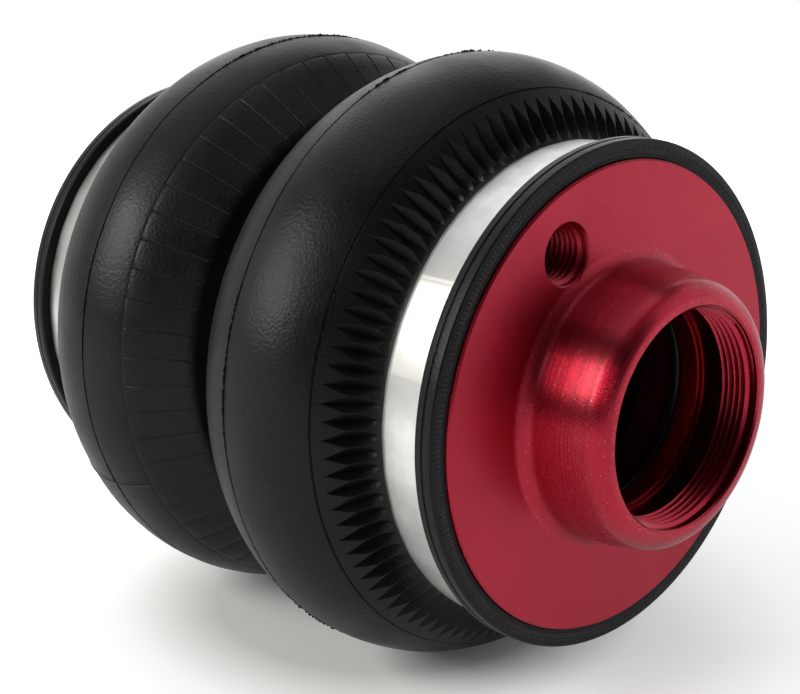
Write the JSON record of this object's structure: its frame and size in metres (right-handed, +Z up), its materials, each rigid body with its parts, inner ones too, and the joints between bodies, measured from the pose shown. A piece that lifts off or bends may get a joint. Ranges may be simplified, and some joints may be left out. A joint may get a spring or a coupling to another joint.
{
  "type": "air bellows actuator",
  "caption": "Air spring with a rubber bellows of twin convolutions crimped onto a flat base cap and a red cap with a threaded hub, a sealed strut bore and a threaded air port.",
  "frame": {"origin": "centre of the base cap's flat outer face, on the stroke axis", "axes": "+X along the stroke axis from the base cap to the threaded hub, +Z up as the part lies on its crowns, +Y across, away from the viewer of the picture"},
  "size_m": [0.1685, 0.142, 0.142],
  "materials": {
    "cap_metal": "bead blasted and red anodised, satin",
    "band_steel": "bright plated, swaged",
    "cover_rubber": "moulded, matte with a leathery grain",
    "cord_ply": "cord fabric calendered in rubber",
    "liner_rubber": "smooth, matte",
    "hoop_steel": "black coated wire",
    "seal_rubber": "moulded nitrile, satin"
  },
  "bodies": {
    "base": {"base_end_cap": "cap_metal", "base_crimp_band": "band_steel", "base_seal_o_ring": "seal_rubber"},
    "bellows": {"outer_cover": "cover_rubber", "outer_cord_ply": "cord_ply", "inner_cord_ply": "cord_ply", "inner_liner": "liner_rubber", "girdle_hoop": "hoop_steel"},
    "hub_end": {"hub_end_cap": "cap_metal", "hub_crimp_band": "band_steel", "hub_seal_o_ring": "seal_rubber"}
  },
  "joints": [
    {"name": "base_convolution_stroke", "type": "slide", "parent": "base", "child": "bellows", "axis": [1, 0, 0], "range_m": [-0.02, 0.015], "stiffness_N_per_m": 3000, "deforming": ["outer_cover", "outer_cord_ply", "inner_cord_ply", "inner_liner"]},
    {"name": "hub_convolution_stroke", "type": "slide", "parent": "bellows", "child": "hub_end", "axis": [1, 0, 0], "range_m": [-0.02, 0.015], "stiffness_N_per_m": 3000}
  ],
  "couplings": [
    {"joint": "hub_convolution_stroke", "follows": "base_convolution_stroke", "ratio": 1}
  ]
}
